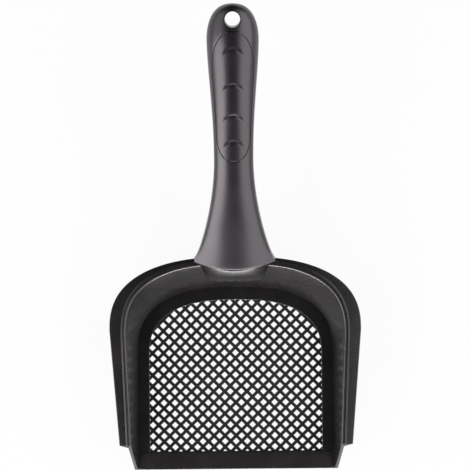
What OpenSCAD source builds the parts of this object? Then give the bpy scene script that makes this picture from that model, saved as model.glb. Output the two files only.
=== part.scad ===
// Hand scoop with a diamond sieve floor, a flared open-fronted pan and a raised hollow handle.
// +Z is up, +Y runs from the front lip to the hanging hole, and X is the width.
// The origin is under the middle of the scoop, on the surface that its floor rests on.

/* [Pan] */
// Width of the flat floor where its rounded back begins
floor_w = 128; // [100:1:160]
// How much wider the floor is at the front lip
floor_front_extra = 2; // [0:0.5:6]
// Depth of the floor from the front lip to the back crease
floor_d = 119; // [95:1:150]
// Depth of the rounded back part of the floor
floor_arch = 43.5; // [30:0.5:50]
// Thickness of the floor
floor_t = 3; // [2.6:0.1:4]
// Height of the rim above the table
rim_h = 36; // [28:1:48]
// Thickness of the side and back walls
wall_t = 2.2; // [1.6:0.1:3]
// How far the side walls lean out where the back rounds off
side_run = 6.4; // [3:0.2:12]
// How far the side walls lean out at their front ends
front_run = 2.5; // [1:0.5:6]
// How far the back wall leans out
back_run = 16.8; // [10:0.2:24]
// How far the wall tops stop behind the front lip
rim_set_back = 19.5; // [8:0.5:30]
// Length of the ramp from the front lip up to the full floor
lip_bevel = 11; // [1:0.5:11]
// Thickness left at the very front of the lip
lip_t = 1.2; // [0.8:0.1:2]

/* [Rim] */
// Width of the flat bead on top of the walls
bead_w = 2.6; // [2.4:0.1:4]
// Width of the flange outside the bead at the sides
flange_side = 8; // [3:0.5:12]
// Width of the flange outside the bead at its front ends
flange_front = 5; // [2:0.5:8]
// Width of the flange outside the bead at the back
flange_back = 2.4; // [1:0.2:6]
// Thickness of the flange
flange_t = 1.8; // [1.2:0.1:2.4]
// How far the edge of the flange hangs below the bead
flange_drop = 2; // [0:0.2:6]

/* [Sieve] */
// Width of the floor frame at the sides and back of the sieve
frame_w = 7.1; // [5:0.1:12]
// Width of the floor strip in front of the sieve
front_strip = 11.6; // [8:0.2:20]
// Distance between neighbouring holes, along X and along Y
hole_pitch = 7.3; // [5:0.1:12]
// Side of each square hole, which stands on its corner
hole_side = 3.1; // [2:0.1:4]
// Distance of the middle hole from the front lip
hole_row = 62.3; // [40:0.1:80]
// Thickness of the sieve panel
panel_t = 1.8; // [1.2:0.1:2]
// Width of the ledge that holds the sieve panel
ledge_w = 3; // [2:0.5:4]

/* [Handle] */
// Length of the handle along its underside
handle_len = 170; // [130:1:200]
// Width of the flared foot
foot_w = 52.2; // [40:0.2:60]
// Width of the waist
waist_w = 24.6; // [20:0.2:32]
// Width of the widest part of the grip
grip_w = 32.4; // [26:0.2:40]
// Height of the crown at the foot
foot_crown = 12; // [9:0.5:14]
// Height of the crown along the grip
grip_crown = 13; // [11:0.5:17]
// Height of the rounded tip
tip_crown = 5; // [4:0.5:8]
// Slope of the handle at the foot
foot_slope = 26; // [18:1:32]
// Slope of the handle at its end
end_slope = 11; // [4:1:16]
// Wall of the hollow handle
shell_t = 2.4; // [2.2:0.1:3]
// Thickness of the stiffening ribs
rib_t = 1.4; // [1:0.1:2]

/* [Hanging hole] */
// Diameter of the hanging hole
hole_d = 9.5; // [6:0.5:12]
// Distance of the hanging hole from the tip, along the handle
hole_from_tip = 9.8; // [9:0.2:16]
// Thickness of the boss round the hanging hole
boss_t = 1.6; // [1.2:0.1:3]

/* [Grip pad] */
// Distance from the tip to the end of the pad
pad_from_tip = 16.8; // [16.4:0.2:26]
// Length of the pad
pad_len = 80.2; // [60:0.2:90]
// Thickness of the pad
pad_t = 1.2; // [1:0.1:1.4]
// Margin between the pad and the side of the handle, at the tip end
pad_margin = 2.8; // [2:0.1:4]
// Margin between the pad and the side of the handle, at the waist end
pad_margin_near = 1.7; // [1.5:0.1:4]
// Distance from the end of the pad to the crest of each finger step
step_places = [8.9, 30.7, 49.8, 66.1]; // [5:0.1:74]
// Radius of the two arcs that bound a finger step
step_r = 7.5; // [5:0.5:10]
// Width of a finger step, along the handle
step_w = 3.4; // [2:0.2:6]
// Depth of a finger step
step_depth = 0.8; // [0.4:0.1:0.9]

/* [Joint] */
// Length of the tongue inside the handle
tongue_len = 34; // [24:1:44]
// Width of the tongue
tongue_w = 16; // [12:0.5:18]
// Height of the tongue
tongue_h = 5; // [3.6:0.1:5.4]
// Height of the snap barb under the tongue
barb_h = 1; // [0.6:0.1:1.4]
// Clearance of each sliding fit
fit_gap = 0.15; // [0.1:0.05:0.3]

/* [Hidden] */
over = 1;
side_steps = 6;
arch_steps = 28;
floor_round = 2.56;
rim_round = 2.59;
flange_round = 2.5;

// Front lip and back of the pan, with the origin under the middle of the whole scoop.
slope_turn = (foot_slope - end_slope) * PI / 180;
handle_run = handle_len * (sin(foot_slope) - sin(end_slope)) / slope_turn;
floor_half = floor_w / 2;
floor_half_front = floor_half + floor_front_extra / 2;
floor_start = floor_d - floor_arch;
rim_lag = 15;
flange_lag = 3.2;
rim_start = floor_start + rim_lag;
rim_arch = floor_d + back_run - rim_start;
flange_start = rim_start + flange_lag;
rim_half = floor_half + side_run;
rim_half_front = floor_half_front + front_run;
rim_back = floor_d + back_run + bead_w;
foot_overlap = 1.3;
foot_y_pan = rim_back - foot_overlap;
lip_y = -(foot_y_pan + handle_run) / 2;
foot_y = lip_y + foot_y_pan;
foot_z = rim_h + fit_gap;

// Fits that follow from the driving sizes.
flange_root = 0.6;
collar_t = 1.1;
collar_margin = 2.6;
collar_half = foot_w / 2 - collar_margin;
nose_half = 14;
nose_z = 12;
tongue_lift = 2;
frame_places = [9, tongue_len - 5];
barb_len = 3;
gusset_t = 2;
gusset_x = tongue_w / 2 - gusset_t;
gusset_reach = 7;
gusset_from = 0.45;
hole_u = handle_len - hole_from_tip;
rib_first = tongue_len + 14;
rib_last = hole_u - 21.5;
rib_places = [for (i = [0:4]) rib_first + (rib_last - rib_first) * i / 4];
pad_round_far = 24;
pad_round_near = 16;
pad_roundness = 2.2;
pad_gap = 0.1;
peg_d = 3;
peg_len = 1.56;
peg_places = [10, pad_len / 2, pad_len - pad_round_near];
rib_rise = 2;
frame_lift = 0.4;

function mix(a, b, f) = a + (b - a) * f;
function clamp01(f) = min(1, max(0, f));
function smooth(f) = let (c = clamp01(f)) c * c * (3 - 2 * c);
function soft_pow(v, e) = sign(v) * pow(abs(v), e);

// Plan outline of the pan at one level, from the left front, round the back, to the right front.
function pan_line(front, half_front, half, start, arch, round) = concat(
    [for (i = [0:side_steps - 1])
        [-mix(half_front, half, i / side_steps), lip_y + mix(front, start, i / side_steps)]],
    [for (i = [0:arch_steps]) let (a = 180 - 180 * i / arch_steps)
        [half * soft_pow(cos(a), 2 / round), lip_y + start + arch * soft_pow(sin(a), 2 / round)]],
    [for (i = [side_steps - 1:-1:0])
        [mix(half_front, half, i / side_steps), lip_y + mix(front, start, i / side_steps)]]);

function floor_line(out, front = 0) =
    pan_line(front, floor_half_front + out, floor_half + out, floor_start, floor_arch + out, floor_round);
function rim_line(out) =
    pan_line(rim_set_back, rim_half_front + out, rim_half + out, rim_start, rim_arch + out, rim_round);
function flange_line() =
    pan_line(rim_set_back, rim_half_front + bead_w + flange_front, rim_half + bead_w + flange_side,
        flange_start, rim_back + flange_back - flange_start, flange_round);

// A point of the handle: u runs along its underside, x across it and h away from it.
function slope(u) = mix(foot_slope, end_slope, u / handle_len);
function along_y(u) = foot_y + handle_len / slope_turn * (sin(foot_slope) - sin(slope(u)));
function along_z(u) = foot_z + handle_len / slope_turn * (cos(slope(u)) - cos(foot_slope));
function handle_point(u, x, h) = [x, along_y(u) - h * sin(slope(u)), along_z(u) + h * cos(slope(u))];

// Half-width of the handle: a flared foot, a waist, a full grip and a rounded tip.
waist_at = 0.43;
waist_u = waist_at * handle_len;
flare_power = 1.92;
grip_u = handle_len - 19;
grip_power = 1.15;
tip_len = 25;
tip_roundness = 2.4;
full_u = handle_len - tip_len;
function half_w(u) = let (
    body = u < waist_u
        ? mix(waist_w, foot_w, pow(1 - u / waist_u, flare_power))
        : mix(waist_w, grip_w, smooth(pow((u - waist_u) / (grip_u - waist_u), grip_power))),
    tip = u < full_u ? 1
        : pow(1 - pow(clamp01((u - full_u) / tip_len), tip_roundness), 1 / tip_roundness))
    body / 2 * tip;
function crown(u) = let (
    body = mix(foot_crown, grip_crown, smooth(u / waist_u)),
    tip = u < full_u ? 1 : sqrt(1 - pow(clamp01((u - full_u) / tip_len), 2)))
    mix(tip_crown, body, tip);
function skirt(u) = min(mix(1, 3, smooth(u / waist_u)), crown(u) / 2);
foot_fullness = 1.2;
function fullness(u) = mix(foot_fullness, 1, smooth(u / waist_u));

// Cross-section of the handle at u, shrunk by inset and carried down by below.
section_steps = 12;
function section(u, inset, below) = let (
    half = max(0.5, half_w(u) - inset), top = crown(u) - inset, low = skirt(u))
    concat([[-half, -below]],
        [for (i = [0:section_steps]) let (a = 180 - 180 * i / section_steps)
            [half * cos(a), low + (top - low) * pow(sin(a), fullness(u))]],
        [[half, -below]]);
function handle_ring(u, inset, below) = [for (p = section(u, inset, below)) handle_point(u, p.x, p.y)];

tip_gap = 0.3;
body_rings = [for (i = [0:11]) full_u * i / 12];
tip_rings = [for (a = [0:12:72]) full_u + tip_len * sin(a)];
function ring_places(last) = concat([for (u = concat(body_rings, tip_rings)) if (u < last - 2 * tip_gap) u],
    [last - tip_gap]);

module loft(rings) {
    n = len(rings[0]);
    m = len(rings);
    polyhedron([for (ring = rings) each ring], concat(
        [for (i = [0:m - 2], j = [0:n - 1]) [i * n + j, (i + 1) * n + j,
            (i + 1) * n + (j + 1) % n, i * n + (j + 1) % n]],
        [[for (j = [0:n - 1]) j]],
        [[for (j = [n - 1:-1:0]) (m - 1) * n + j]]));
}

module handle_body(inset = 0) {
    first = inset > 0 ? [-over] : [];
    loft([for (u = concat(first, ring_places(handle_len - inset))) handle_ring(u, inset, inset > 0 ? over : 0)]);
}

// Flat plate across the handle at u, reaching into the middle of its wall.
module cross_plate(u, low) {
    plate = [for (p = section(u + rib_t / 2, shell_t / 2, 0)) [p.x, max(p.y, low)]];
    on_handle(u) translate([0, rib_t, 0]) rotate([90, 0, 0]) linear_extrude(rib_t) polygon(plate);
}

// Something placed in the handle's own frame at u.
module on_handle(u) {
    translate([0, along_y(u), along_z(u)]) rotate([slope(u), 0, 0]) children();
}

// Plan outline of the grip pad, grown by out.
pad_end_u = handle_len - pad_from_tip;
function pad_round(d) = let (
    far = clamp01(1 - d / pad_round_far), near = clamp01(1 - (pad_len - d) / pad_round_near))
    pow(1 - pow(far, pad_roundness), 1 / pad_roundness) * pow(1 - pow(near, pad_roundness), 1 / pad_roundness);
pad_near = pad_len - pad_round_near;
pad_stations = concat([for (a = [0:15:90]) pad_round_far * (1 - cos(a))],
    [for (i = [1:4]) mix(pad_round_far, pad_near, i / 5)],
    [for (a = [0:15:90]) pad_near + pad_round_near * sin(a)]);
function pad_half(d, out) =
    (half_w(pad_end_u - d) - mix(pad_margin, pad_margin_near, d / pad_len)) * pad_round(d) + out;
function pad_y(d) = along_y(pad_end_u - d) - (grip_crown - over) * sin(slope(pad_end_u - d));

module pad_prism(out) {
    grow = [for (d = pad_stations) d == 0 ? out : d == pad_len ? -out : 0];
    right = [for (i = [0:len(pad_stations) - 1])
        [pad_half(pad_stations[i], out), pad_y(pad_stations[i]) + grow[i]]];
    left = [for (i = [len(right) - 1:-1:0]) [-right[i].x, right[i].y]];
    translate([0, 0, rim_h]) linear_extrude(handle_len) polygon(concat(right, left));
}

module window_outline(out) {
    polygon(floor_line(out - frame_w, front_strip - out));
}

// Walls, bead and flange as one swept section.
module pan_walls() {
    low_in = floor_line(0);
    low_out = floor_line(wall_t);
    top_in = rim_line(0);
    top_out = rim_line(bead_w);
    under = rim_line(wall_t);
    edge = flange_line();
    last = len(low_in) - 1;
    root_z = rim_h - flange_t - flange_root;
    root_shift = rim_set_back * (root_z / rim_h - 1);
    function root_y(i) = under[i].y + (i == 0 || i == last ? root_shift : 0);
    rings = [for (i = [0:last]) [
        [low_in[i].x, low_in[i].y, 0], [top_in[i].x, top_in[i].y, rim_h],
        [top_out[i].x, top_out[i].y, rim_h], [edge[i].x, edge[i].y, rim_h - flange_drop],
        [edge[i].x, edge[i].y, rim_h - flange_drop - flange_t],
        [under[i].x, root_y(i), root_z], [low_out[i].x, low_out[i].y, 0]]];
    n = 7;
    cap = [[0, 1, 5], [0, 5, 6], [1, 2, 5], [2, 3, 4], [2, 4, 5]];
    // The two halves are cut into mirrored triangles, so that both sides are the same.
    function side(i, j) = let (a = i * n + j, b = i * n + (j + 1) % n)
        i < last / 2 ? [[a, b, b + n], [a, b + n, a + n]] : [[a, b, a + n], [b, b + n, a + n]];
    polyhedron([for (ring = rings) each ring], concat(
        [for (i = [0:last - 1], j = [0:n - 1]) each side(i, j)],
        [for (t = cap) [t[2], t[1], t[0]]],
        [for (t = cap) [last * n + t[0], last * n + t[1], last * n + t[2]]]));
}

// Flat floor with its window, the ledge round it and the bevelled lip.
module pan_floor() {
    difference() {
        linear_extrude(floor_t) polygon(floor_line(wall_t / 2));
        translate([0, 0, -over]) linear_extrude(floor_t + 2 * over) window_outline(0);
        translate([0, 0, -over]) linear_extrude(panel_t + over) window_outline(ledge_w);
        translate([-floor_w, lip_y, 0]) rotate([90, 0, 90]) linear_extrude(2 * floor_w)
            polygon([[-over, lip_t - over * (floor_t - lip_t) / lip_bevel], [lip_bevel, floor_t],
                [lip_bevel, floor_t + over], [-over, floor_t + over]]);
    }
}

// Nose on the back wall that carries the handle, with a collar shaped like the handle's foot.
module handle_nose() {
    collar = [for (i = [0:section_steps]) let (a = 180 - 180 * i / section_steps)
        [collar_half * cos(a), (foot_crown - fit_gap) * pow(sin(a), foot_fullness)]];
    back_y = lip_y + floor_d;
    hull() {
        on_handle(0) rotate([90, 0, 0]) linear_extrude(collar_t) polygon(collar);
        for (x = [-nose_half, nose_half]) translate([x - 0.5, back_y + 5, nose_z]) cube([1, over, over]);
    }
}

module tongue() {
    on_handle(0) {
        translate([-tongue_w / 2, -collar_t / 2, tongue_lift])
            cube([tongue_w, tongue_len + collar_t / 2, tongue_h]);
        translate([-tongue_w / 4, frame_places[1] + rib_t + 2 * fit_gap, tongue_lift + over])
            rotate([0, 90, 0]) linear_extrude(tongue_w / 2)
                polygon([[0, 0], [over + barb_h, 0], [over, barb_len], [0, barb_len]]);
    }
}

// Gussets behind the back wall, up to the underside of the tongue.
module gussets() {
    wall_y = lip_y + floor_d;
    tip = handle_point(gusset_reach, 0, tongue_lift + over);
    root_y = wall_y + back_run + wall_t / 2;
    low_z = rim_h * gusset_from;
    low_y = wall_y + back_run * gusset_from + wall_t / 2;
    for (x = [-gusset_x, gusset_x]) translate([x - gusset_t / 2, 0, 0])
        rotate([90, 0, 90]) linear_extrude(gusset_t)
            polygon([[low_y, low_z], [tip.y, tip.z - over], [tip.y, tip.z],
                [root_y, rim_h + tongue_lift + over], [root_y, rim_h - over]]);
}

module pan() {
    color("#2b292c") {
        pan_walls();
        pan_floor();
        handle_nose();
        tongue();
        gussets();
    }
}

// Sieve panel, seated from below on the ledge of the floor.
module sieve_panel() {
    reach = ceil(floor_d / hole_pitch);
    keep_half = floor_half - frame_w + over;
    keep_front = front_strip - over;
    keep_back = floor_d - frame_w + over;
    function corner_x(y) = y <= floor_start ? keep_half
        : keep_half * pow(1 - pow(min(1, (y - floor_start) / (keep_back - floor_start)), floor_round),
            1 / floor_round);
    color("#201f21") linear_extrude(panel_t) difference() {
        window_outline(ledge_w - fit_gap);
        for (j = [-2 * reach:2 * reach], i = [-reach:reach]) {
            x = (i + (j % 2 == 0 ? 0 : 0.5)) * hole_pitch;
            y = hole_row + j * hole_pitch / 2;
            if (y > keep_front && y < keep_back && abs(x) < corner_x(y))
                translate([x, lip_y + y]) rotate(45) square(hole_side, center = true);
        }
    }
}

// Cross ribs and the long middle rib of the hollow handle.
module handle_ribs() {
    spine_from = rib_places[0];
    spine_to = rib_places[len(rib_places) - 1];
    spine = [for (i = [0:8]) mix(spine_from, spine_to, i / 8)];
    top = [for (u = spine) handle_point(u, 0, crown(u) - shell_t / 2)];
    low = [for (i = [len(spine) - 1:-1:0]) handle_point(spine[i], 0, rib_rise)];
    for (u = rib_places) cross_plate(u, rib_rise / 2);
    translate([-rib_t / 2, 0, 0]) rotate([90, 0, 90]) linear_extrude(rib_t)
        polygon([for (p = concat(top, low)) [p.y, p.z]]);
}

// Two frames inside the foot, which the tongue slides through.
module tongue_frames() {
    slot_w = tongue_w + 2 * fit_gap;
    slot_h = tongue_h + 2 * fit_gap;
    difference() {
        for (u = frame_places) cross_plate(u, frame_lift);
        on_handle(0) translate([-slot_w / 2, -over, tongue_lift - fit_gap])
            cube([slot_w, tongue_len + 2 * over, slot_h]);
    }
}

// Boss round the hanging hole, under the crown.
module hole_boss() {
    intersection() {
        handle_body(shell_t / 2);
        on_handle(hole_u) cylinder(d = hole_d + 2 * boss_t, h = 2 * grip_crown, $fn = 48);
    }
}

// Hollow shell with everything that is moulded inside it.
module handle_casting() {
    difference() {
        handle_body();
        handle_body(shell_t);
    }
    handle_ribs();
    tongue_frames();
    hole_boss();
}

module handle() {
    color("#343136") difference() {
        difference() {
            handle_casting();
            difference() {
                pad_prism(fit_gap);
                handle_body(pad_t + pad_gap);
            }
        }
        on_handle(hole_u) translate([0, 0, -2 * over])
            cylinder(d = hole_d, h = 3 * grip_crown, $fn = 48);
        for (d = peg_places) on_handle(pad_end_u - d)
            cylinder(d = peg_d + 2 * fit_gap, h = 2 * grip_crown, $fn = 32);
    }
}

// Crescent-shaped cut for one finger, its horns pointing at the pan.
module finger_step(floor_h) {
    difference() {
        translate([0, -step_r, floor_h]) cylinder(r = step_r, h = grip_crown, $fn = 64);
        translate([0, -step_r - step_w, floor_h - over]) cylinder(r = step_r, h = grip_crown + 2 * over, $fn = 64);
    }
}

// Pad let into the crown of the grip, with a step for each finger and pegs into the handle.
module grip_pad() {
    color("#39363b") {
        difference() {
            difference() {
                intersection() {
                    handle_body();
                    pad_prism(0);
                }
                handle_body(pad_t);
            }
            for (d = step_places) on_handle(pad_end_u - d) finger_step(crown(pad_end_u - d) - step_depth);
        }
        for (d = peg_places) on_handle(pad_end_u - d)
            translate([0, 0, grip_crown - shell_t]) cylinder(d = peg_d, h = peg_len, $fn = 32);
    }
}

pan();
sieve_panel();
handle();
grip_pad();
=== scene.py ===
import math

import bmesh
import bpy
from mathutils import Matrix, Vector


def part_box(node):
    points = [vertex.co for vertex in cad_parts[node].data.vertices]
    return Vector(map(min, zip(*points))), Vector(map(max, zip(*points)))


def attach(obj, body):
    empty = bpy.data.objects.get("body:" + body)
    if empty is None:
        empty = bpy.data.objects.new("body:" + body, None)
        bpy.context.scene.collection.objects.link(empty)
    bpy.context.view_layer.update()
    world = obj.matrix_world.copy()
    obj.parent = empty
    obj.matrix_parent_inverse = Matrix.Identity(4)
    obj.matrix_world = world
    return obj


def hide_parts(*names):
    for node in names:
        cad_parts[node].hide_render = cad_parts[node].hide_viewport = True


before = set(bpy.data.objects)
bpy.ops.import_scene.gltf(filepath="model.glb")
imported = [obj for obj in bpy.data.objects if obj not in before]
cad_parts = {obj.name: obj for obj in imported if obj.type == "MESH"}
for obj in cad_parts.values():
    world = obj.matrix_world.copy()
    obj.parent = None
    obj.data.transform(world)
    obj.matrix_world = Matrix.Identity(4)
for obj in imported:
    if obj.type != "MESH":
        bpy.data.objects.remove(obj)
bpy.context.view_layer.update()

MM = 0.001

# Where the frame puts the scoop.
pan_low, pan_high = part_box("pan")
_, panel_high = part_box("sieve_panel")
LIP_Y = pan_low.y

# Measurements of the pan.
FLOOR_T = 3 * MM
FLOOR_HALF = 64 * MM
FLOOR_HALF_FRONT = 65 * MM
FLOOR_DEPTH = 119 * MM
FLOOR_ARCH = 43.5 * MM
FLOOR_START = FLOOR_DEPTH - FLOOR_ARCH
FLOOR_ROUND = 2.56
LIP_T = 1.2 * MM
LIP_BEVEL = 11 * MM
RIM_H = 36 * MM
RIM_HALF = FLOOR_HALF + 6.4 * MM
RIM_HALF_FRONT = FLOOR_HALF_FRONT + 2.5 * MM
RIM_SET_BACK = 19.5 * MM
RIM_START = FLOOR_START + 15 * MM
RIM_ARCH = FLOOR_DEPTH + 16.8 * MM - RIM_START
RIM_ROUND = 2.59
BEAD_W = 2.6 * MM
WALL_T = 2.2 * MM
RIM_BACK = FLOOR_DEPTH + 16.8 * MM + BEAD_W
FLANGE_HALF = pan_high.x
FLANGE_HALF_FRONT = RIM_HALF_FRONT + BEAD_W + 5 * MM
FLANGE_START = RIM_START + 3.2 * MM
FLANGE_BACK = RIM_BACK + 2.4 * MM
FLANGE_ROUND = 2.5
FLANGE_T = 1.8 * MM
FLANGE_DROP = 1.1 * MM
BEAD_STEP = 0.9 * MM
BEAD_TILT = 0.6 * MM
WALL_FLARE = 1.5
WINDOW_HALF = 56.7 * MM
WINDOW_ARCH = FLOOR_ARCH - 7.1 * MM
FRONT_STRIP = 12.2 * MM
LEDGE_W = 3 * MM
PANEL_T = panel_high.z
FIT_GAP = 0.15 * MM

# Measurements of the sieve: square holes that stand on their corners.
HOLE_PITCH = 7.3 * MM
HOLE_SIDE = 3.1 * MM
HOLE_ROW = 62.3 * MM

# Measurements of the handle, which is laid out along the arc of its underside.
HANDLE_LEN = 170 * MM
FOOT_W = 52.2 * MM
WAIST_W = 24.6 * MM
GRIP_W = 32.4 * MM
FOOT_CROWN = 12 * MM
GRIP_CROWN = 13 * MM
TIP_CROWN = 5 * MM
FOOT_SLOPE = math.radians(26)
END_SLOPE = math.radians(11)
SHELL_T = 2.4 * MM
RIB_T = 1.4 * MM
WAIST_U = 0.43 * HANDLE_LEN
FLARE_POWER = 1.92
FOOT_FULLNESS = 1.9
FOOT_LAG = 3.4 * MM
SKIRT_FOOT = 6.3 * MM
SKIRT_GRIP = 1.4 * MM
GRIP_U = HANDLE_LEN - 19 * MM
GRIP_POWER = 1.15
FULL_U = HANDLE_LEN - 25 * MM
TIP_LEN = 24.3 * MM
TIP_ROUNDNESS = 2.4
FOOT_Z = RIM_H + FIT_GAP
SLOPE_TURN = FOOT_SLOPE - END_SLOPE
FOOT_Y = LIP_Y + RIM_BACK - 1.3 * MM
HOLE_R = 4.75 * MM
HOLE_U = HANDLE_LEN - 9.8 * MM
BOSS_T = 1.6 * MM
COLLAR_T = 1.1 * MM
COLLAR_HALF = FOOT_W / 2 - 2.6 * MM
COLLAR_SQUARENESS = 0.3

# The nose that joins the collar to the back wall.
NOSE_TURNS = 40
NOSE_BULGE = 4.5
NOSE_FOOT_HALF = 14 * MM
NOSE_FOOT_Z = 12 * MM

# Measurements of the grip pad and its finger steps.
PAD_END_U = HANDLE_LEN - 16.8 * MM
PAD_LEN = 80.2 * MM
PAD_T = 1.2 * MM
PAD_MARGIN = 2.8 * MM
PAD_MARGIN_NEAR = 1.7 * MM
PAD_ROUND_FAR = 24 * MM
PAD_ROUND_NEAR = 16 * MM
PAD_ROUNDNESS = 2.2
PAD_TIP_HALF = 2.6 * MM
STEP_PLACES = [8.9 * MM, 30.7 * MM, 49.8 * MM, 66.1 * MM]
STEP_R = 7.5 * MM
STEP_W = 3.4 * MM
STEP_DEPTH = 0.45 * MM

# The tongue that the handle slides onto.
TONGUE_LEN = 34 * MM
TONGUE_W = 16 * MM
TONGUE_H = 5 * MM
TONGUE_LIFT = 2 * MM
FRAME_PLACES = [9 * MM, TONGUE_LEN - 5 * MM]
BARB_H = 1 * MM
BARB_LEN = 3 * MM
GUSSET_T = 2 * MM
GUSSET_X = TONGUE_W / 2 - GUSSET_T
GUSSET_FROM = 0.45
GUSSET_REACH = 7 * MM

# Ribs under the crown of the handle, and pegs under the pad.
RIB_FIRST = TONGUE_LEN + 14 * MM
RIB_LAST = HOLE_U - 21.5 * MM
RIB_PLACES = [RIB_FIRST + (RIB_LAST - RIB_FIRST) * k / 4 for k in range(5)]
RIB_RISE = 2 * MM
FRAME_LIFT = 0.4 * MM
RIB_SEAT = SHELL_T * 0.8
PEG_R = 1.5 * MM
PEG_PLACES = [10 * MM, 40.1 * MM, 64.2 * MM]


def mix(a, b, f):
    return a + (b - a) * f


def clamp01(f):
    return min(1.0, max(0.0, f))


def smooth(f):
    c = clamp01(f)
    return c * c * (3 - 2 * c)


def soft_pow(v, e):
    return math.copysign(abs(v) ** e, v)


# ---------------------------------------------------------------- mesh helpers

def new_piece(name, bm, sharp=32):
    """Finishes a bmesh as an object that rides with the scoop."""
    mesh = bpy.data.meshes.new(name)
    bm.to_mesh(mesh)
    bm.free()
    for face in mesh.polygons:
        face.use_smooth = True
    mesh.set_sharp_from_angle(angle=math.radians(sharp))
    piece = bpy.data.objects.new(name, mesh)
    bpy.context.scene.collection.objects.link(piece)
    return piece


def ring_edges(ring, closed=True):
    count = len(ring) if closed else len(ring) - 1
    return [edge_between(ring[i], ring[(i + 1) % len(ring)]) for i in range(count)]


def edge_between(a, b):
    for edge in a.link_edges:
        if edge.other_vert(a) is b:
            return edge
    return None


def start_ring(bm, points):
    """A closed ring of edges through the points."""
    ring = [bm.verts.new(p) for p in points]
    for i, vert in enumerate(ring):
        bm.edges.new((vert, ring[(i + 1) % len(ring)]))
    return ring


def extrude_ring(bm, ring, points):
    """Extrudes a ring and moves the new one onto the points."""
    made = bmesh.ops.extrude_edge_only(bm, edges=ring_edges(ring))
    fresh = {v for v in made["geom"] if isinstance(v, bmesh.types.BMVert)}
    grown = []
    for vert, point in zip(ring, points):
        new = next(e.other_vert(vert) for e in vert.link_edges if e.other_vert(vert) in fresh)
        new.co = point
        grown.append(new)
    return grown


def sweep(bm, rings, cap_start=True, cap_end=True):
    """A skin through rings of equally many points, with its ends closed."""
    ring = start_ring(bm, rings[0])
    made = [ring]
    for points in rings[1:]:
        ring = extrude_ring(bm, ring, points)
        made.append(ring)
    if cap_start:
        bm.faces.new(made[0])
    if cap_end:
        bm.faces.new(made[-1])
    return made


def rounded(corners, steps=4):
    """Points of a closed line whose corners (point, radius) are rounded off."""
    line = []
    count = len(corners)
    for i, (corner, radius) in enumerate(corners):
        if radius == 0:
            line.append(corner)
            continue
        before = corners[i - 1][0] - corner
        after = corners[(i + 1) % count][0] - corner
        a = corner + before.normalized() * min(radius, before.length * 0.45)
        b = corner + after.normalized() * min(radius, after.length * 0.45)
        for k in range(steps + 1):
            f = k / steps
            line.append(a.lerp(corner, f).lerp(corner.lerp(b, f), f))
    return line


def shrunk(ring, path, amount):
    """The ring with every point moved inwards, square to the path."""
    out = []
    count = len(ring)
    for i, point in enumerate(ring):
        along = ring[(i + 1) % count] - ring[i - 1]
        inward = along.cross(path)
        out.append(point + inward.normalized() * amount if inward.length else point.copy())
    return out


def face_out(bm):
    bmesh.ops.remove_doubles(bm, verts=bm.verts[:], dist=1e-7)
    bmesh.ops.recalc_face_normals(bm, faces=bm.faces[:])


# ---------------------------------------------------------------- pan

END_ROUND = 0.35 * MM
SIDE_PLACES = [0, 0.0012, 0.005, 0.012, 0.02, 0.04, 0.06, 0.1,
               0.16, 0.28, 0.4, 0.52, 0.64, 0.76, 0.88]
ARCH_TURNS = 72


def pan_line(front, half_front, half, start, arch, roundness):
    """Plan line of the pan at one level: straight sides, then a rounded back."""
    side = [(mix(half_front, half, f), LIP_Y + mix(front, start, f)) for f in SIDE_PLACES]
    back = []
    for i in range(ARCH_TURNS + 1):
        a = math.pi * (1 - i / ARCH_TURNS)
        back.append((half * soft_pow(math.cos(a), 2 / roundness),
                     LIP_Y + start + arch * soft_pow(max(0.0, math.sin(a)), 2 / roundness)))
    left = [(-x, y) for x, y in side]
    return left + back + side[::-1]


def floor_line(out):
    return pan_line(0, FLOOR_HALF_FRONT + out, FLOOR_HALF + out, FLOOR_START,
                    FLOOR_ARCH + out, FLOOR_ROUND)


def window_line(out):
    return pan_line(0, WINDOW_HALF + out, WINDOW_HALF + out, FLOOR_START,
                    WINDOW_ARCH + out, FLOOR_ROUND)


def rim_line(out):
    return pan_line(RIM_SET_BACK, RIM_HALF_FRONT + out, RIM_HALF + out, RIM_START,
                    RIM_ARCH + out, RIM_ROUND)


def flange_line():
    return pan_line(RIM_SET_BACK, FLANGE_HALF_FRONT, FLANGE_HALF, FLANGE_START,
                    FLANGE_BACK - FLANGE_START, FLANGE_ROUND)


def wall_point(low, high, f):
    """A point of the inner wall, which flares a little towards its rim."""
    share = mix(f, f ** WALL_FLARE, 0.6)
    return Vector((mix(low.x, high.x, share), mix(low.y, high.y, share), mix(low.z, high.z, f)))


def floor_top(y):
    """Height of the floor, which thins to the front lip."""
    return mix(LIP_T, FLOOR_T, clamp01((y - LIP_Y) / LIP_BEVEL))


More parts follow.
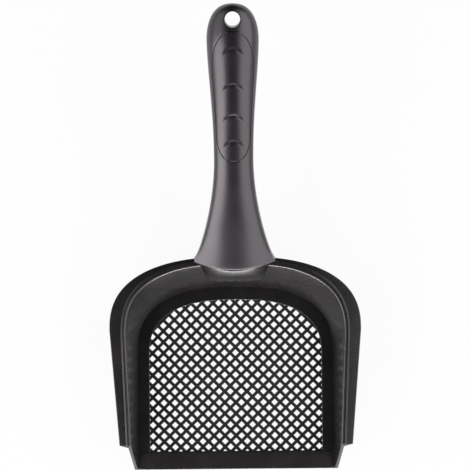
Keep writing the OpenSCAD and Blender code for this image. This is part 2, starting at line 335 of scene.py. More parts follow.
def pan_rings():
    """Sections of floor frame, wall, bead and flange, from the left front round to the right."""
    window = window_line(0)
    ledge = window_line(LEDGE_W)
    inside = floor_line(0)
    outside = floor_line(WALL_T)
    bead_in = rim_line(0)
    bead_out = rim_line(BEAD_W)
    bead_foot = rim_line(BEAD_W + 0.4 * MM)
    under = rim_line(WALL_T)
    flange = flange_line()
    root_z = RIM_H - FLANGE_T - 0.9 * MM
    rings = []
    last = len(window) - 1
    for i in range(last + 1):
        low_in = Vector((*inside[i], 0))
        high_in = Vector((*bead_in[i], RIM_H - BEAD_TILT))
        low_out = Vector((*outside[i], 0))
        high_out = Vector((*under[i], root_z))
        ends_back = RIM_SET_BACK * (root_z / RIM_H - 1) * max(0, 1 - min(i, last - i) / 4)
        high_out.y += ends_back
        top = floor_top(inside[i][1])
        crease = low_in.lerp(high_in, top / RIM_H)
        flange_z = RIM_H - FLANGE_DROP
        bead_root = Vector((*bead_foot[i], RIM_H - BEAD_STEP))
        edge = Vector((*flange[i], flange_z))
        if (edge - bead_root).xy.length < 1.2 * MM:
            bead_root = Vector((*bead_out[i], RIM_H - BEAD_STEP))
        low_edge = edge - Vector((0, 0, FLANGE_T))
        corners = [
            (Vector((*window[i], min(PANEL_T, top * 0.7))), 0.25 * MM),
            (Vector((*window[i], top)), 0.35 * MM),
            (crease, 0),
            *[(wall_point(low_in, high_in, f), 0) for f in (0.3, 0.45, 0.6, 0.75, 0.88)],
            (high_in, 0.7 * MM),
            (Vector((*bead_out[i], RIM_H)), 0.6 * MM),
            (bead_root, 0.4 * MM),
            (edge, 0.5 * MM),
            (low_edge, 0.5 * MM),
            (high_out, 1.0 * MM),
            (low_out.lerp(high_out, 0.5), 0),
            (low_out, 0.7 * MM),
            (Vector((*ledge[i], 0)), 0.2 * MM),
            (Vector((*ledge[i], min(PANEL_T, top * 0.7))), 0.2 * MM),
        ]
        rings.append(rounded(corners))
    along = Vector((0, 1, 0))
    rings[0] = shrunk(rings[0], along, END_ROUND * 0.8)
    rings[1] = shrunk(rings[1], along, END_ROUND * 0.25)
    rings[last] = shrunk(rings[last], -along, END_ROUND * 0.8)
    rings[last - 1] = shrunk(rings[last - 1], -along, END_ROUND * 0.25)
    return rings


def add_front_strip(bm):
    """Floor strip between the sieve and the lip."""
    reach = FLOOR_HALF - 1.5 * MM
    lift = 0.02 * MM
    profile = [
        ((0, 0), 0.4 * MM), ((0, LIP_T), 0.5 * MM), ((LIP_BEVEL, FLOOR_T), 0.6 * MM),
        ((FRONT_STRIP, FLOOR_T), 0.35 * MM), ((FRONT_STRIP, PANEL_T), 0.25 * MM),
        ((FRONT_STRIP - LEDGE_W, PANEL_T), 0.2 * MM), ((FRONT_STRIP - LEDGE_W, 0), 0.2 * MM),
    ]
    rings = []
    for x in (-reach, reach):
        corners = [(Vector((x, LIP_Y + y, z + lift)), r) for (y, z), r in profile]
        rings.append(rounded(corners))
    sweep(bm, rings)


def nose_arc(back, shrink):
    """Outline of the collar, back from the foot of the handle, from left to right."""
    arc = []
    for i in range(NOSE_TURNS + 1):
        a = math.pi * (1 - i / NOSE_TURNS)
        x = (COLLAR_HALF - shrink) * math.cos(a)
        square = max(0.0, math.sin(a)) ** COLLAR_SQUARENESS
        top = (arch_height(0, FOOT_W / 2 * math.cos(a)) - FIT_GAP) * square
        arc.append(handle_point(foot_lag(0, x) - back, x, max(0.0, top - shrink)))
    return arc


def add_nose(bm):
    """Nose on the back wall: a collar like the foot of the handle, then a bulge down the wall."""
    low = LIP_Y + FLOOR_DEPTH + 5 * MM
    start = nose_arc(COLLAR_T, 0.35 * MM)
    rings = []
    for back, shrink in ((0, 0), (COLLAR_T - 0.3 * MM, 0), (COLLAR_T - 0.1 * MM, 0.1 * MM)):
        rings.append(nose_arc(back, shrink) + nose_chord(0, low))
    for step in range(19):
        t = (step / 18) ** 1.6
        arc = []
        for i, point in enumerate(start):
            a = math.pi * (1 - i / NOSE_TURNS)
            foot = Vector((NOSE_FOOT_HALF * math.cos(a), low, NOSE_FOOT_Z))
            out = 1 - (1 - t) ** NOSE_BULGE
            arc.append(Vector((mix(point.x, foot.x, mix(t, out, 0.5)), mix(point.y, foot.y, out),
                               mix(point.z, foot.z, t))))
        rings.append(arc + nose_chord(t, low))
    sweep(bm, rings)


def nose_chord(t, low):
    """Hidden back of the nose, inside the wall of the pan."""
    half = mix(COLLAR_HALF, NOSE_FOOT_HALF, t) - 0.6 * MM
    y, z = mix(FOOT_Y, low + 1 * MM, t), mix(FOOT_Z, NOSE_FOOT_Z, t)
    return [Vector((half * f, y, z)) for f in (1, 0.5, 0, -0.5, -1)]


def add_box(bm, low, high, place, soft):
    """A box in the handle's own frame, with softened edges."""
    made = bmesh.ops.create_cube(bm, size=1)
    verts = made["verts"]
    for v in verts:
        u, x, h = (mix(low[k], high[k], v.co[k] + 0.5) for k in range(3))
        v.co = place(u, x, h)
    edges = {e for v in verts for e in v.link_edges}
    bmesh.ops.bevel(bm, geom=list(edges), offset=soft, offset_type="OFFSET", segments=2,
                    profile=0.5, affect="EDGES", material=-1, clamp_overlap=True)


# ---------------------------------------------------------------- handle

def slope(u):
    return mix(FOOT_SLOPE, END_SLOPE, u / HANDLE_LEN)


def handle_point(u, x, h):
    """A point u along the underside of the handle, x across it and h above it."""
    s = slope(u)
    radius = HANDLE_LEN / SLOPE_TURN
    y = FOOT_Y + radius * (math.sin(FOOT_SLOPE) - math.sin(s))
    z = FOOT_Z + radius * (math.cos(s) - math.cos(FOOT_SLOPE))
    return Vector((x, y - h * math.sin(s), z + h * math.cos(s)))


def tip_share(u, power):
    """Share of the full size that is left on the way round the tip."""
    if u < FULL_U:
        return 1.0
    return (1 - clamp01((u - FULL_U) / TIP_LEN) ** power) ** (1 / power)


def half_w(u):
    """Half-width of the handle: a flared foot, a waist, the grip and the rounded tip."""
    if u < WAIST_U:
        body = mix(WAIST_W, FOOT_W, (1 - max(0, u) / WAIST_U) ** FLARE_POWER)
    else:
        body = mix(WAIST_W, GRIP_W, smooth(((u - WAIST_U) / (GRIP_U - WAIST_U)) ** GRIP_POWER))
    return body / 2 * tip_share(u, TIP_ROUNDNESS)


def crown(u):
    return mix(TIP_CROWN, mix(FOOT_CROWN, GRIP_CROWN, smooth(u / WAIST_U)), tip_share(u, 2))


def skirt(u):
    """Height of the upright side under the arch of the crown."""
    side = mix(SKIRT_FOOT, SKIRT_GRIP, smooth((u - WAIST_U) / (GRIP_U - 14 * MM - WAIST_U)))
    return min(side, crown(u) / 2)


def fullness(u):
    return mix(FOOT_FULLNESS, 1, clamp01(u / (28 * MM)))


def foot_lag(u, x):
    """How far the sides of the foot stand back from its middle."""
    return FOOT_LAG * (2 * x / FOOT_W) ** 2 * clamp01(1 - u / (16 * MM)) ** 2


def arch_height(u, x, inset=0.0):
    """Height of the handle's crown at x, or of a shell inset under it."""
    half = max(0.5 * MM, half_w(u) - inset)
    top = crown(u) - inset
    low = skirt(u)
    side = max(0.0, 1 - (x / half) ** 2)
    return low + (top - low) * side ** (fullness(u) / 2)


def pad_round(d):
    """Share of the pad's full width that is left d from its far end."""
    far = clamp01(1 - d / PAD_ROUND_FAR)
    near = clamp01(1 - (PAD_LEN - d) / PAD_ROUND_NEAR)
    power = PAD_ROUNDNESS
    return (1 - far ** power) ** (1 / power) * (1 - near ** power) ** (1 / power)


def pad_half(u):
    """Half-width of the pad at u, with short straight ends."""
    d = min(PAD_LEN, max(0.0, PAD_END_U - u))
    margin = mix(PAD_MARGIN, PAD_MARGIN_NEAR, d / PAD_LEN)
    return max(PAD_TIP_HALF, (half_w(u) - margin) * pad_round(d))


SIDE_POINTS = 14
FLOOR_POINTS = 18
INNER_POINTS = 30
GROOVE = 0.12 * MM
LIP_SOFT = 0.04 * MM
LIP_FALL = 0.15 * MM


def outer_line(u, inset, recess):
    """Crown of the handle from left to right, with the pad's recess let into it."""
    half = half_w(u) - inset
    mouth = min(pad_half(u) + GROOVE, half * 0.93)
    depth = (PAD_T + 0.1 * MM) if recess else 0
    stop = math.acos(max(-1.0, -(mouth + 0.15 * MM) / half))
    left = []
    for i in range(SIDE_POINTS + 1):
        x = half * math.cos(mix(math.pi, stop, i / SIDE_POINTS))
        left.append((x, arch_height(u, x, inset)))
    lip = arch_height(u, -mouth, inset)
    lip_x = -mouth - LIP_SOFT
    left.append((lip_x, arch_height(u, lip_x, inset) - (LIP_SOFT if recess else 0)))
    left.append((-mouth, lip - (LIP_FALL if recess else 0)))
    across = [mix(-mouth, mouth, i / FLOOR_POINTS) for i in range(FLOOR_POINTS + 1)]
    floor = [(x, arch_height(u, x, inset) - depth) for x in across]
    if not recess:
        floor[0] = (-mouth + 0.01 * MM, lip)
        floor[-1] = (mouth - 0.01 * MM, lip)
    right = [(-x, h) for x, h in left[::-1]]
    return left + floor + right


def inner_line(u, open_back):
    """Roof of the hollow from right to left, or a flat back where the handle is solid."""
    half = max(0.4 * MM, half_w(u) - SHELL_T)
    line = []
    for i in range(INNER_POINTS + 1):
        a = math.pi * i / INNER_POINTS
        x = half * math.cos(a)
        line.append((x, arch_height(u, x, SHELL_T) if open_back else 0.0))
    foot = 0.25 * MM if open_back else 0.0
    return [(half, foot)] + line + [(-half, foot)]


def handle_ring(u, inset, recess, open_back):
    """Section of the handle: crown, rims and the roof of the hollow."""
    half = half_w(u) - inset
    soft = 0.5 * MM
    outer = outer_line(u, inset, recess)
    rim = [(half, soft), (half - 0.12 * MM, 0.15 * MM), (half - soft, 0)]
    inner_half = max(0.4 * MM, half_w(u) - SHELL_T)
    rim.append((inner_half + 0.25 * MM, 0))
    left_rim = [(-x, h) for x, h in rim[::-1]]
    line = outer + rim + inner_line(u, open_back) + left_rim
    return [handle_point(u + foot_lag(u, x), x, h) for x, h in line]


def handle_stations():
    """Places along the handle: (u, inset, recess, open back)."""
    edge = 0.8 * MM
    cavity_end = HANDLE_LEN - SHELL_T - 0.6 * MM
    plain = []
    for turn in range(5):
        a = math.pi / 2 * turn / 4
        plain.append((edge * (1 - math.sin(a)), edge * (1 - math.cos(a))))
    stations = [(u, inset, False, True) for u, inset in plain[::-1]]
    pad_near = PAD_END_U - PAD_LEN
    u = edge
    while u < pad_near - 3 * MM:
        u += 2.2 * MM
        stations.append((min(u, pad_near - 0.3 * MM), 0, False, True))
    stations.append((pad_near - 0.02 * MM - GROOVE, 0, False, True))
    recess_near = pad_near - GROOVE
    for i in range(25):
        u = recess_near + PAD_ROUND_NEAR * (1 - math.cos(math.pi / 2 * i / 24))
        stations.append((u, 0, True, True))
    middle = PAD_LEN - PAD_ROUND_FAR - PAD_ROUND_NEAR
    for i in range(1, 20):
        u = recess_near + PAD_ROUND_NEAR + (middle + GROOVE) * i / 20
        stations.append((u, 0, True, True))
    for i in range(31):
        back = PAD_ROUND_FAR * (1 - math.sin(math.pi / 2 * i / 30))
        stations.append((PAD_END_U - back + GROOVE, 0, True, True))
    stations.append((PAD_END_U + GROOVE + 0.02 * MM, 0, False, True))
    tip = [FULL_U + TIP_LEN * math.sin(math.pi / 2 * i / 40) for i in range(1, 40)]
    for u in tip:
        if u > PAD_END_U + 0.6 * MM:
            stations.append((u, 0, False, u < cavity_end))
    return stations


# ---------------------------------------------------------------- build the pieces

def make_pan():
    """Pan with its front strip, nose, tongue, barb and webs, as one piece of overlapping shells."""
    bm = bmesh.new()
    sweep(bm, pan_rings())
    add_front_strip(bm)
    face_out(bm)
    nose = bmesh.new()
    add_nose(nose)
    face_out(nose)
    join_into(bm, nose)
    add_box(bm, (-COLLAR_T / 2, -TONGUE_W / 2, TONGUE_LIFT),
            (TONGUE_LEN, TONGUE_W / 2, TONGUE_LIFT + TONGUE_H), handle_point_flat, 0.4 * MM)
    add_barb(bm)
    for x in (-GUSSET_X, GUSSET_X):
        add_gusset(bm, x)
    return new_piece("scoop_pan", bm)


def add_barb(bm):
    """Snap barb under the end of the tongue, behind the second frame of the handle."""
    start = FRAME_PLACES[1] + RIB_T + 2 * FIT_GAP
    side = [(start, TONGUE_LIFT + 0.3 * MM), (start, TONGUE_LIFT - BARB_H),
            (start + 0.3 * MM, TONGUE_LIFT - BARB_H), (start + BARB_LEN, TONGUE_LIFT),
            (start + BARB_LEN, TONGUE_LIFT + 0.3 * MM)]
    add_slab(bm, side, -TONGUE_W / 4, TONGUE_W / 4, handle_point_flat)


def add_gusset(bm, x):
    """Upright web between the back wall and the tongue."""
    wall_y = LIP_Y + FLOOR_DEPTH
    back_run = RIM_ARCH + RIM_START - FLOOR_DEPTH
    tip = handle_point(GUSSET_REACH, 0, TONGUE_LIFT + 0.2 * MM)
    side = [(wall_y + back_run * GUSSET_FROM + WALL_T / 2, RIM_H * GUSSET_FROM),
            (tip.y, tip.z - 0.4 * MM),
            (tip.y, tip.z), (wall_y + back_run + WALL_T / 2, RIM_H + TONGUE_LIFT),
            (wall_y + back_run + WALL_T / 2, RIM_H - 1 * MM)]
    add_slab(bm, side, x - GUSSET_T / 2, x + GUSSET_T / 2,
             lambda y, across, z: Vector((across, y, z)))


def add_slab(bm, side, low, high, place, soft=0.15 * MM):
    """A plate with the outline side between two distances across, with softened edges."""
    slab = bmesh.new()
    middle = [sum(p[k] for p in side) / len(side) for k in (0, 1)]
    size = max(math.dist(p, middle) for p in side)
    rings = []
    for across, share in ((low, 1), (low + soft, 0), (high - soft, 0), (high, 1)):
        scale = 1 - soft / size * share
        rings.append([place(mix(middle[0], a, scale), across, mix(middle[1], b, scale))
                      for a, b in side])
    sweep(slab, rings)
    face_out(slab)
    join_into(bm, slab)


def handle_point_flat(u, x, h):
    """As handle_point, but straight on from the foot, as the tongue runs."""
    base = handle_point(0, x, 0)
    c, s = math.cos(FOOT_SLOPE), math.sin(FOOT_SLOPE)
    return base + Vector((0, u * c - h * s, u * s + h * c))


def join_into(bm, other):
    mesh = bpy.data.meshes.new("part")
    other.to_mesh(mesh)
    other.free()
    bm.from_mesh(mesh)
    bpy.data.meshes.remove(mesh)


def make_handle():
    """Hollow shell of the handle, with its hanging hole, ribs and frames."""
    bm = bmesh.new()
    stations = handle_stations()
    rings = [handle_ring(u, inset, recess, open_back) for u, inset, recess, open_back in stations]
    made = sweep(bm, rings)
    cut_hanging_hole(bm, made, stations)
    face_out(bm)
    add_ribs(bm)
    return new_piece("handle_shell", bm)


def plate_across(bm, u, low, high, foot, top=None):
    """A plate across the handle at u, from x low to high, up to the roof or to a level top."""
    soft = 0.15 * MM
    plate = bmesh.new()
    rings = []
    for shift, lift in ((-0.5, soft), (-0.5 + soft / RIB_T, 0), (0.5 - soft / RIB_T, 0), (0.5, soft)):
        at = u + shift * RIB_T
        upper = []
        for i in range(17):
            x = mix(high, low, i / 16)
            upper.append((x, arch_height(at, x, RIB_SEAT) if top is None else top - lift))
        rings.append([handle_point(at, x, h)
                      for x, h in [(low, foot + lift), (high, foot + lift)] + upper])
    sweep(plate, rings)
    face_out(plate)
    join_into(bm, plate)


def add_ribs(bm):
    """Cross ribs and spine under the crown, and the two frames that hold the tongue."""
    for u in RIB_PLACES:
        half = half_w(u) - RIB_SEAT
        plate_across(bm, u, -half, half, RIB_RISE / 2)
    spine = bmesh.new()
    rings = []
    for i in range(25):
        u = mix(RIB_PLACES[0], RIB_PLACES[-1], i / 24)
        top = crown(u) - RIB_SEAT
        half = RIB_T / 2
        soft = 0.2 * MM
        line = [(-half, soft), (-half + soft, 0), (half - soft, 0), (half, soft)]
        rings.append([handle_point(u, x, RIB_RISE + h) for x, h in line]
                     + [handle_point(u, half, top), handle_point(u, -half, top)])
    sweep(spine, rings)
    face_out(spine)
    join_into(bm, spine)
    for u in FRAME_PLACES:
        at = u + RIB_T / 2
        drift = at ** 2 * SLOPE_TURN / (2 * HANDLE_LEN)
        half = half_w(u) - RIB_SEAT
        slot = TONGUE_W / 2 + FIT_GAP
        floor = TONGUE_LIFT - FIT_GAP + drift
        plate_across(bm, at, -half, -slot, FRAME_LIFT)
        plate_across(bm, at, slot, half, FRAME_LIFT)
        plate_across(bm, at, -slot, slot, floor + TONGUE_H + 2 * FIT_GAP)
        plate_across(bm, at, -slot, slot, FRAME_LIFT, floor)


def cut_hanging_hole(bm, made, stations):
    """Opens the crown and the roof round the hanging hole and joins them with a bore."""
    reach = HOLE_R + 1.6 * MM
    roof_rows = [k for k, s in enumerate(stations) if abs(s[0] - HOLE_U) < reach + 1.2 * MM]
    crown_rows = [k for k in roof_rows if abs(stations[k][0] - HOLE_U) < HOLE_R + 1.45 * MM]
    outer_count = len(outer_line(HOLE_U, 0, False))
    first = crown_rows[0]
    outer_cols = [j for j in range(outer_count) if abs(made[first][j].co.x) < reach + 0.8 * MM]
    inner_start = outer_count + 3 + 1 + 1
    inner_cols = [j for j in range(inner_start, inner_start + INNER_POINTS + 1)
                  if abs(made[first][j].co.x) < reach + 0.8 * MM]
    loops = {}
    for name, rows, cols in (("crown", crown_rows, outer_cols), ("roof", roof_rows, inner_cols)):
        first, last = rows[0], rows[-1]
        j0, j1 = cols[0], cols[-1]
        block = {made[k][j] for k in range(first, last + 1) for j in range(j0, j1 + 1)}
        inside = [f for f in bm.faces if all(v in block for v in f.verts)]
        border = [made[first][j] for j in range(j0, j1 + 1)]
        border += [made[k][j1] for k in range(first + 1, last + 1)]
        border += [made[last][j] for j in range(j1 - 1, j0 - 1, -1)]
        border += [made[k][j0] for k in range(last - 1, first, -1)]
        bmesh.ops.delete(bm, geom=inside, context="FACES_ONLY")
        keep = set(border)
        edges = [e for e in bm.edges if not e.link_faces and all(v in block for v in e.verts)]
        bmesh.ops.delete(bm, geom=edges, context="EDGES")
        orphans = [v for v in block if v.is_valid and v not in keep and not v.link_faces]
        bmesh.ops.delete(bm, geom=orphans, context="VERTS")
        loops[name] = border
    soft = 0.55 * MM
    centre = HOLE_U

    def circle(border_places, radius, height):
        return [handle_point(centre + radius * math.cos(a), radius * math.sin(a),
                             height(centre + radius * math.cos(a), radius * math.sin(a)))
                for a in border_places]

    turns = [math.atan2(v.co.x, along_u(v.co) - centre) for v in loops["crown"]]
    ring = loops["crown"]
    for radius, drop in ((HOLE_R + 0.95 * MM, 0), (HOLE_R + soft, 0), (HOLE_R + soft * 0.62, 0.08),
                         (HOLE_R + soft * 0.29, 0.29), (HOLE_R + soft * 0.08, 0.62), (HOLE_R, 1.0)):
        ring = extrude_ring(bm, ring, circle(turns, radius, lambda u, x: arch_height(u, x) - drop * soft))
    boss_r = HOLE_R + BOSS_T
    for radius, height in ((HOLE_R, 0.5 * MM), (HOLE_R + 0.15 * MM, 0.15 * MM), (HOLE_R + 0.5 * MM, 0),
                           (boss_r - 0.4 * MM, 0), (boss_r, 0.4 * MM)):
        ring = extrude_ring(bm, ring, circle(turns, radius, lambda u, x: height))
    roof = loops["roof"]
    roof_turns = [math.atan2(v.co.x, along_u(v.co) - centre) for v in roof]
    roof_ring = extrude_ring(bm, roof, circle(roof_turns, boss_r, lambda u, x: arch_height(u, x, SHELL_T)))
    bmesh.ops.bridge_loops(bm, edges=ring_edges(ring) + ring_edges(roof_ring))


def along_u(co):
    """Distance along the handle of a point near it."""
    lo, hi = 0.0, HANDLE_LEN
    for _ in range(40):
        mid = (lo + hi) / 2
        base = handle_point(mid, 0, 0)
        s = slope(mid)
        if (co - base).dot(Vector((0, math.cos(s), math.sin(s)))) > 0:
            lo = mid
        else:
            hi = mid
    return (lo + hi) / 2


def step_drop(u, x):
    """How far the crescents of the finger steps lower the pad at this point."""
    if abs(x) >= STEP_R - 0.2 * MM:
        return 0.0
    curve = STEP_R - math.sqrt(STEP_R ** 2 - x ** 2)
    ends = smooth((STEP_R - 0.2 * MM - abs(x)) / (4.6 * MM))
    drop = 0.0
    for place in STEP_PLACES:
        across = (PAD_END_U - place - curve - u) / STEP_W
        if 0 < across < 1:
            fall = smooth(across / 0.5) * smooth((1 - across) / 0.5)
            drop = max(drop, STEP_DEPTH * fall * ends)
    return drop


PAD_TOP_POINTS = 64
PAD_EDGE = 0.35 * MM


def pad_ring(u, shrink=0.0):
    """Section of the pad: stepped top, rounded edges and a flat-bottomed body."""
    half = pad_half(u) - GROOVE - shrink
    top = []
    for i in range(PAD_TOP_POINTS + 1):
        f = -math.cos(math.pi * i / PAD_TOP_POINTS)
        f = mix(f, -1 + 2 * i / PAD_TOP_POINTS, 0.75)
        x = (half - PAD_EDGE) * f
        top.append((x, arch_height(u, x) - step_drop(u, x) - shrink))
    side = []
    for turn in range(1, 4):
        a = math.pi / 2 * turn / 4
        x = half - PAD_EDGE * (1 - math.sin(a))
        side.append((x, arch_height(u, x) - PAD_EDGE * (1 - math.cos(a)) - shrink))
    low = arch_height(u, half, 0) - PAD_T
    side += [(half, arch_height(u, half) - PAD_EDGE - shrink), (half, low)]
    shares = (0.75, 0.5, 0.25, 0, -0.25, -0.5, -0.75)
    bottom = [(half * f, arch_height(u, half * f) - PAD_T) for f in shares]
    left = [(-x, h) for x, h in side[::-1]]
    return [handle_point(u, x, h) for x, h in top + side + bottom + left]


def make_pad():
    """Inset of the grip, with its pegs."""
    bm = bmesh.new()
    near = PAD_END_U - PAD_LEN + GROOVE
    far = PAD_END_U - GROOVE
    places = [near + 14 * MM * (1 - math.cos(math.pi / 2 * i / 30)) for i in range(30)]
    middle = far - 22 * MM - (near + 14 * MM)
    places += [near + 14 * MM + middle * i / 130 for i in range(130)]
    places += [far - 22 * MM * (1 - math.sin(math.pi / 2 * i / 40)) for i in range(41)]
    rings = [pad_ring(places[0], 0.3 * MM)]
    rings.append(pad_ring(places[0] + 0.12 * MM, 0.08 * MM))
    rings += [pad_ring(u) for u in places if near + 0.3 * MM < u < far - 0.3 * MM]
    rings += [pad_ring(far - 0.12 * MM, 0.08 * MM), pad_ring(far, 0.3 * MM)]
    sweep(bm, rings)
    face_out(bm)
    for d in PEG_PLACES:
        add_peg(bm, PAD_END_U - d)
    return new_piece("grip_inset", bm, sharp=50)


def add_peg(bm, u):
    """Peg under the pad, whose end shows in the roof of the handle's hollow."""
    peg = bmesh.new()
    low = GRIP_CROWN - SHELL_T - 0.12 * MM
    rings = []
    for h, r in ((low, PEG_R - 0.2 * MM), (low + 0.2 * MM, PEG_R), (crown(u) - PAD_T + 0.2 * MM, PEG_R)):
        turns = [2 * math.pi * i / 32 for i in range(32)]
        rings.append([handle_point(u + r * math.cos(a), r * math.sin(a), h) for a in turns])
    sweep(peg, rings)
    face_out(peg)
    join_into(bm, peg)


def window_corners(out):
    """Corners of the window in the floor, grown by out."""
    front = LIP_Y + FRONT_STRIP - out
    half = WINDOW_HALF + out
    line = [p for p in window_line(out) if p[1] > front + 1 * MM]
    return [(-half, front)] + line + [(half, front)]


def clip_to(bm, corners):
    """Keeps what lies inside a plan outline that bulges everywhere."""
    count = len(corners)
    for i in range(count):
        a, b = Vector((*corners[i], 0)), Vector((*corners[(i + 1) % count], 0))
        along = b - a
        if along.length < 1e-6:
            continue
        outward = Vector((-along.y, along.x, 0)).normalized()
        bmesh.ops.bisect_plane(bm, geom=bm.verts[:] + bm.edges[:] + bm.faces[:], plane_co=a,
                               plane_no=outward, clear_outer=True)


def make_sieve():
    """Sheet with square holes on their corners, cut to the window, in a flat border."""
    bm = bmesh.new()
    pitch = HOLE_PITCH / math.sqrt(2)
    reach = 17
    lines = 4 * reach + 1
    bmesh.ops.create_grid(bm, x_segments=lines, y_segments=lines, size=0.5)

    def line_place(share):
        k = round((share + 0.5) * lines)
        return (k // 2 - reach) * pitch + (HOLE_SIDE / 2 if k % 2 else -HOLE_SIDE / 2)

    def is_hole(face):
        c = face.calc_center_median()
        cells = [int((c.x + 0.5) * lines), int((c.y + 0.5) * lines)]
        return cells[0] % 2 == 0 and cells[1] % 2 == 0

    holes = [f for f in bm.faces if is_hole(f)]
    bmesh.ops.delete(bm, geom=holes, context="FACES")
    middle = Vector((0, LIP_Y + HOLE_ROW, PANEL_T))
    turn = math.sqrt(0.5)
    for v in bm.verts:
        a, b = line_place(v.co.x), line_place(v.co.y)
        v.co = middle + Vector((turn * (a - b), turn * (a + b), 0))
    bmesh.ops.recalc_face_normals(bm, faces=bm.faces[:])
    if bm.faces[0].normal.z < 0:
        bmesh.ops.reverse_faces(bm, faces=bm.faces[:])
    clip_to(bm, window_corners(1.2 * MM))
    bmesh.ops.remove_doubles(bm, verts=bm.verts[:], dist=1e-6)
    sheet = bm.faces[:]
    bmesh.ops.solidify(bm, geom=sheet, thickness=PANEL_T)
    face_out(bm)
    inner = window_corners(0.2 * MM)
    limit_x = max(x for x, _ in inner)

    def inside(co):
        return abs(co.x) < limit_x and co.y > inner[0][1] and inside_arch(co)

    edges = [e for e in bm.edges if e.is_manifold and e.calc_face_angle() > 1.2
             and all(inside(v.co) for v in e.verts)]
    bmesh.ops.bevel(bm, geom=edges, offset=0.09 * MM, offset_type="OFFSET", segments=2, profile=0.5,
                    affect="EDGES", material=-1, clamp_overlap=False)
    border = bmesh.new()
    face = border.faces.new([border.verts.new((x, y, PANEL_T - 0.01 * MM))
                             for x, y in window_corners(LEDGE_W - FIT_GAP)])
    bmesh.ops.inset_region(border, faces=[face], thickness=2.1 * MM, use_even_offset=True)
    bmesh.ops.delete(border, geom=[face], context="FACES")
    bmesh.ops.solidify(border, geom=border.faces[:], thickness=PANEL_T - 0.02 * MM)
    face_out(border)
    join_into(bm, border)
    return new_piece("sieve", bm, sharp=12)


def inside_arch(co):
    """Whether a point of the sieve lies well inside the rounded back of the window."""
    y = co.y - LIP_Y
    if y < FLOOR_START:
        return True
    share = clamp01((y - FLOOR_START) / WINDOW_ARCH)
    return abs(co.x) < WINDOW_HALF * (1 - share ** FLOOR_ROUND) ** (1 / FLOOR_ROUND)


# ---------------------------------------------------------------- finishes

SPECULAR_LEVEL = 0.95


def satin_black(name, colour, roughness, sheen, grain=0.5):
    """Moulded plastic with a fine grain and a satin sheen."""
    mat = bpy.data.materials.new(name)
    mat.use_nodes = True
    nodes, links = mat.node_tree.nodes, mat.node_tree.links
    shader = nodes["Principled BSDF"]
    shader.inputs["Specular IOR Level"].default_value = SPECULAR_LEVEL
    shader.inputs["Specular Tint"].default_value = (*sheen, 1)
    place = nodes.new("ShaderNodeTexCoord")
    fine = nodes.new("ShaderNodeTexNoise")
    fine.inputs["Scale"].default_value = 2600
    fine.inputs["Detail"].default_value = 3
    broad = nodes.new("ShaderNodeTexNoise")
    broad.inputs["Scale"].default_value = 60
    broad.inputs["Detail"].default_value = 4
    links.new(place.outputs["Object"], fine.inputs["Vector"])
    links.new(place.outputs["Object"], broad.inputs["Vector"])
    tint = nodes.new("ShaderNodeValToRGB")
    tint.color_ramp.elements[0].position = 0.3
    tint.color_ramp.elements[1].position = 0.7
    tint.color_ramp.elements[0].color = (*[c * 0.85 for c in colour], 1)
    tint.color_ramp.elements[1].color = (*[c * 1.15 for c in colour], 1)
    links.new(broad.outputs["Fac"], tint.inputs["Fac"])
    links.new(tint.outputs["Color"], shader.inputs["Base Color"])
    gloss = nodes.new("ShaderNodeMapRange")
    gloss.inputs["To Min"].default_value = roughness - 0.04
    gloss.inputs["To Max"].default_value = roughness + 0.04
    links.new(broad.outputs["Fac"], gloss.inputs["Value"])
    links.new(gloss.outputs["Result"], shader.inputs["Roughness"])
    bump = nodes.new("ShaderNodeBump")
    bump.inputs["Strength"].default_value = grain
    bump.inputs["Distance"].default_value = 0.00003
    links.new(fine.outputs["Fac"], bump.inputs["Height"])
    links.new(bump.outputs["Normal"], shader.inputs["Normal"])
    return mat


def finish_piece(piece, material, node):
    piece.data.materials.append(material)
    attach(piece, "root")
    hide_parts(node)


# ---------------------------------------------------------------- stage, light and camera

def white_stage():
    """Pale floor that shows white to the eye and in reflections, and keeps a faint shadow."""
    bm = bmesh.new()
    bmesh.ops.create_grid(bm, x_segments=1, y_segments=1, size=3)
    mesh = bpy.data.meshes.new("stage_floor")
    bm.to_mesh(mesh)
    bm.free()
    floor = bpy.data.objects.new("stage_floor", mesh)
    bpy.context.scene.collection.objects.link(floor)
    mat = bpy.data.materials.new("pale_floor")
    mat.use_nodes = True
    nodes, links = mat.node_tree.nodes, mat.node_tree.links
    nodes.clear()
    out = nodes.new("ShaderNodeOutputMaterial")
    matte = nodes.new("ShaderNodeBsdfDiffuse")
    matte.inputs["Color"].default_value = (0.8, 0.8, 0.8, 1)
    white = nodes.new("ShaderNodeEmission")
    white.inputs["Strength"].default_value = 1
    path = nodes.new("ShaderNodeLightPath")
    seen = nodes.new("ShaderNodeMath")
    seen.operation = "MAXIMUM"
    seen_all = nodes.new("ShaderNodeMath")
    seen_all.operation = "MAXIMUM"
    share = nodes.new("ShaderNodeMath")
    share.operation = "MULTIPLY"
    share.inputs[1].default_value = 0.93
    blend = nodes.new("ShaderNodeMixShader")
    links.new(path.outputs["Is Camera Ray"], seen.inputs[0])
    links.new(path.outputs["Is Glossy Ray"], seen.inputs[1])
    links.new(seen.outputs[0], seen_all.inputs[0])
    links.new(path.outputs["Is Transmission Ray"], seen_all.inputs[1])
    links.new(seen_all.outputs[0], share.inputs[0])
    links.new(share.outputs[0], blend.inputs["Fac"])
    links.new(matte.outputs[0], blend.inputs[1])
    links.new(white.outputs[0], blend.inputs[2])
    links.new(blend.outputs[0], out.inputs["Surface"])
    mesh.materials.append(mat)


def softbox(name, place, target, width, height, power):
    lamp = bpy.data.lights.new(name, "AREA")
    lamp.shape = "RECTANGLE"
    lamp.size, lamp.size_y = width, height
    lamp.energy = power
    obj = bpy.data.objects.new(name, lamp)
    obj.location = place
    obj.rotation_euler = (Vector(target) - Vector(place)).to_track_quat("-Z", "Y").to_euler()
    bpy.context.scene.collection.objects.link(obj)


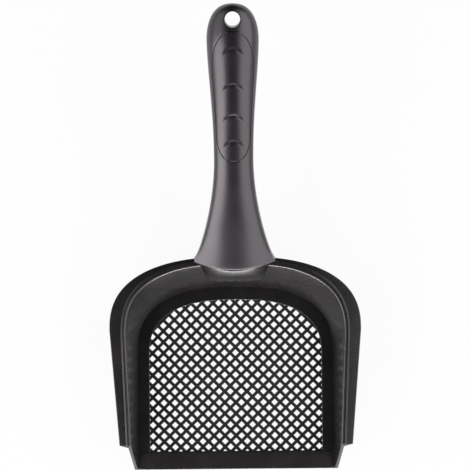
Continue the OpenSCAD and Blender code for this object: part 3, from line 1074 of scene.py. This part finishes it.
def light_scene():
    world = bpy.data.worlds.new("studio")
    bpy.context.scene.world = world
    world.use_nodes = True
    nodes, links = world.node_tree.nodes, world.node_tree.links
    background = nodes["Background"]
    background.inputs["Color"].default_value = (1, 1, 1, 1)
    path = nodes.new("ShaderNodeLightPath")
    level = nodes.new("ShaderNodeMapRange")
    level.inputs["To Min"].default_value = 0.03
    level.inputs["To Max"].default_value = 1
    links.new(path.outputs["Is Camera Ray"], level.inputs["Value"])
    links.new(level.outputs["Result"], background.inputs["Strength"])
    softbox("softbox_left", (-1.06, -1.1, 0.75), (0, -1.1, 0), 1.9, 1.15, 27)
    softbox("softbox_left_back", (-1.06, 0.5, 0.75), (0, 0.5, 0), 1.3, 1.15, 5.5)
    softbox("softbox_right", (1.0, -0.45, 0.84), (0, -0.45, 0), 3.3, 1.3, 27)
    softbox("softbox_front", (0, -1.5, 0.16), (0, 0, 0.03), 1.6, 0.3, 36)


def aim_camera():
    """Long lens straight above the scoop, turned half a degree."""
    camera = bpy.data.cameras.new("camera")
    camera.sensor_width = 36
    camera.lens = 150.7
    camera.clip_end = 10
    obj = bpy.data.objects.new("camera", camera)
    obj.location = (0.0004, 0.0056, 1.3)
    obj.rotation_euler = (0, 0, -0.009)
    bpy.context.scene.collection.objects.link(obj)
    bpy.context.scene.camera = obj


aim_camera()
white_stage()
light_scene()
pan_black = satin_black("pan_black", (0.0055, 0.0045, 0.0053), 0.27, (1, 0.96, 0.98))
sieve_black = satin_black("sieve_black", (0.0045, 0.004, 0.0042), 0.33, (1, 0.97, 0.98))
handle_black = satin_black("handle_black", (0.0055, 0.0045, 0.0057), 0.31, (1, 0.94, 1))
pad_black = satin_black("pad_black", (0.0055, 0.0045, 0.0057), 0.31, (1, 0.94, 1))
finish_piece(make_pan(), pan_black, "pan")
finish_piece(make_sieve(), sieve_black, "sieve_panel")
finish_piece(make_handle(), handle_black, "handle")
finish_piece(make_pad(), pad_black, "grip_pad")

bpy.context.scene.view_settings.view_transform = "Standard"
